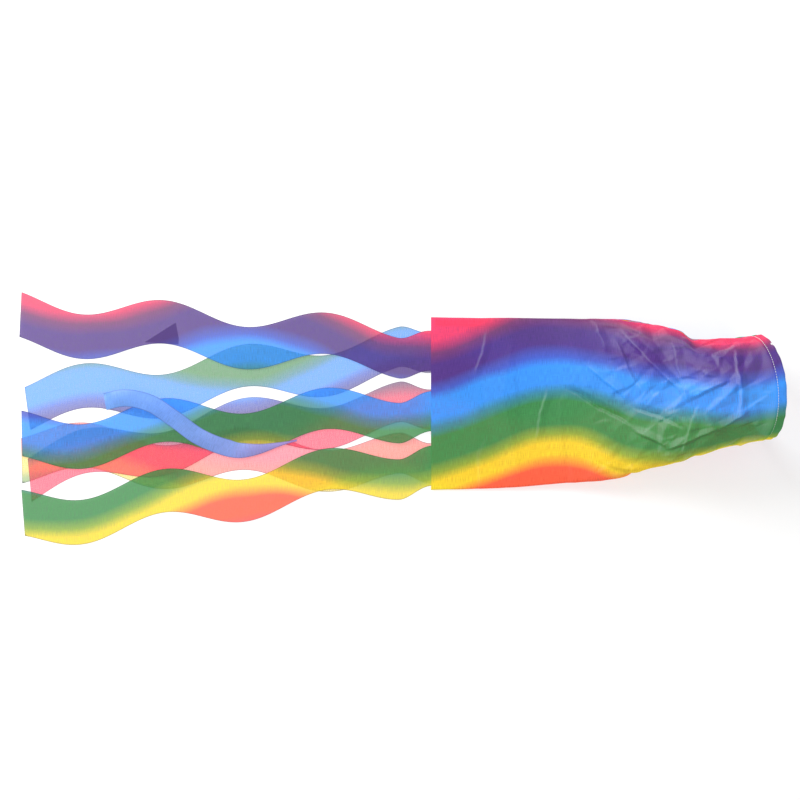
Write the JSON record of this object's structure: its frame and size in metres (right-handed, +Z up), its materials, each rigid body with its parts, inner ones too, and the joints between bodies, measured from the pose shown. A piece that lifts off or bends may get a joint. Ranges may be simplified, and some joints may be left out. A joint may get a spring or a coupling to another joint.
{
  "type": "wave-tail windsock",
  "caption": "Rainbow cloth windsock laid flat: a hooped round mouth, a sleeve that flattens towards its end, and long wave-cut tails.",
  "frame": {"origin": "bottom centre of the whole object as it lies", "axes": "+X from the tails to the mouth, +Z up off the surface it lies on"},
  "size_m": [1.0062, 0.3428, 0.1372],
  "materials": {
    "tube_cloth": "thin printed polyester, slight sheen",
    "neck_cloth": "thin printed polyester, slight sheen",
    "hem_cloth": "thin printed polyester, slight sheen",
    "seam_cloth": "thin printed polyester, slight sheen",
    "tail_front_upper_cloth": "thin printed polyester, slight sheen",
    "tail_front_middle_cloth": "thin printed polyester, slight sheen",
    "tail_front_lower_cloth": "thin printed polyester, slight sheen",
    "tail_back_upper_cloth": "thin printed polyester, slight sheen",
    "tail_back_middle_cloth": "thin printed polyester, slight sheen",
    "tail_back_lower_cloth": "thin printed polyester, slight sheen",
    "ribbon_cloth": "thin printed polyester, slight sheen",
    "spring_wire": "drawn wire",
    "ferrule_tube": "satin",
    "white_thread": "twisted thread",
    "seam_thread": "twisted thread"
  },
  "bodies": {
    "sleeve": {"tube_body": "tube_cloth", "tube_neck": "neck_cloth", "tube_seam": "seam_cloth", "seam_stitching": "seam_thread"},
    "mouth": {"hoop": "spring_wire", "hoop_ferrule": "ferrule_tube", "mouth_hem": "hem_cloth", "hem_stitching": "white_thread"},
    "tail_front_upper": {"tail_front_upper": "tail_front_upper_cloth"},
    "tail_front_middle": {"tail_front_middle": "tail_front_middle_cloth"},
    "tail_front_lower": {"tail_front_lower": "tail_front_lower_cloth"},
    "tail_back_upper": {"tail_back_upper": "tail_back_upper_cloth"},
    "tail_back_middle": {"tail_back_middle": "tail_back_middle_cloth"},
    "tail_back_lower": {"tail_back_lower": "tail_back_lower_cloth"},
    "ribbon": {"ribbon_tail": "ribbon_cloth"}
  },
  "joints": [
    {"name": "hoop_tilt", "type": "hinge", "parent": "sleeve", "child": "mouth", "pos_m": [0.4739, 0.0393, 0.0031], "axis": [-0.0941, 0.9956, 0], "range_deg": [-25, 10], "deforming": ["tube_neck"]},
    {"name": "tail_front_upper_flap", "type": "hinge", "parent": "sleeve", "child": "tail_front_upper", "pos_m": [0.055, 0.0906, 0.00455], "axis": [0, 1, 0], "range_deg": [0, 80]},
    {"name": "tail_front_middle_flap", "type": "hinge", "parent": "sleeve", "child": "tail_front_middle", "pos_m": [0.055, 0.0093, 0.00455], "axis": [0, 1, 0], "range_deg": [0, 80]},
    {"name": "tail_front_lower_flap", "type": "hinge", "parent": "sleeve", "child": "tail_front_lower", "pos_m": [0.055, -0.0641, 0.00455], "axis": [0, 1, 0], "range_deg": [0, 80]},
    {"name": "tail_back_upper_flap", "type": "hinge", "parent": "sleeve", "child": "tail_back_upper", "pos_m": [0.055, 0.0884, 0.00025], "axis": [0, 1, 0], "range_deg": [-80, 0]},
    {"name": "tail_back_middle_flap", "type": "hinge", "parent": "sleeve", "child": "tail_back_middle", "pos_m": [0.055, 0.0115, 0.00025], "axis": [0, 1, 0], "range_deg": [-60, 0]},
    {"name": "tail_back_lower_flap", "type": "hinge", "parent": "tail_back_middle", "child": "tail_back_lower", "pos_m": [0.055, -0.0612, 0.00025], "axis": [0, 1, 0], "range_deg": [-25, 0]},
    {"name": "ribbon_lift", "type": "hinge", "parent": "tail_front_middle", "child": "ribbon", "pos_m": [-0.126, -0.03, 0.00295], "axis": [-0.2234, 0.9747, 0], "range_deg": [0, 60]}
  ]
}
